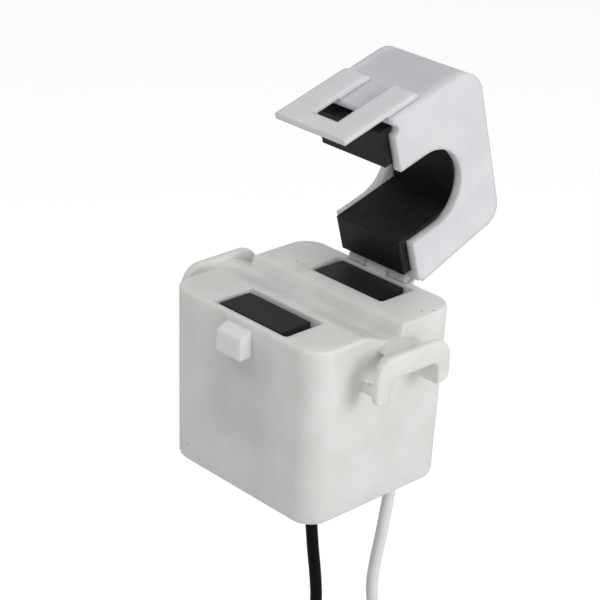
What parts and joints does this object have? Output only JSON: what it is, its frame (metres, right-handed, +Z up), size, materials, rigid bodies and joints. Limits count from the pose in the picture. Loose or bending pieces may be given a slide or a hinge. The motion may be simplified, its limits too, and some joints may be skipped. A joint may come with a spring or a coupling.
{
  "type": "split-core current transformer",
  "caption": "Split-core current transformer: housing with a wound ferrite half, hinged cap with a floating ferrite half, snap latch, cable-tie ears and flying leads.",
  "frame": {"origin": "seat of the measured conductor: the middle of the saddle, on the plane where the two halves meet", "axes": "+X along the conductor, -Y towards the latch, +Y towards the hinge, +Z up towards the cap"},
  "size_m": [0.038, 0.043, 0.124],
  "materials": {
    "housing_plastic": "satin moulded polyamide, slightly translucent",
    "cap_plastic": "satin moulded polyamide, slightly translucent",
    "ferrite": "ground ferrite, dull dark grey",
    "bobbin_plastic": "plain moulded",
    "magnet_wire": "enamelled copper",
    "tape": "polyester tape",
    "steel": "bright drawn",
    "black_insulation": "smooth PVC",
    "white_insulation": "smooth PVC",
    "tie_plastic": "natural nylon",
    "tinned_copper": "tinned strands"
  },
  "bodies": {
    "housing": {"housing": "housing_plastic", "bottom_cover": "housing_plastic", "lower_core": "ferrite", "bobbin": "bobbin_plastic", "winding": "magnet_wire", "winding_tape": "tape", "hinge_pin": "steel", "black_lead": "black_insulation", "white_lead": "white_insulation", "black_coil": "black_insulation", "white_coil": "white_insulation", "black_tie": "tie_plastic", "white_tie": "tie_plastic", "black_tail": "black_insulation", "white_tail": "white_insulation", "black_strands": "tinned_copper", "white_strands": "tinned_copper"},
    "cap": {"cap": "cap_plastic", "latch_frame": "cap_plastic", "core_spring": "steel"},
    "floating_core": {"upper_core": "ferrite"}
  },
  "joints": [
    {"name": "cap_hinge", "type": "hinge", "parent": "housing", "child": "cap", "pos_m": [0, 0.01317, 0.00035], "axis": [-1, 0, 0], "range_deg": [-73.5, 0], "deforming": ["latch_frame"]},
    {"name": "core_slide", "type": "slide", "parent": "cap", "child": "floating_core", "axis": [0, 0.9588, 0.284], "range_m": [0, 0.0009], "deforming": ["core_spring"]}
  ],
  "couplings": [
    {"joint": "core_slide", "follows": "cap_hinge", "m_per_rad": -0.00069379}
  ]
}
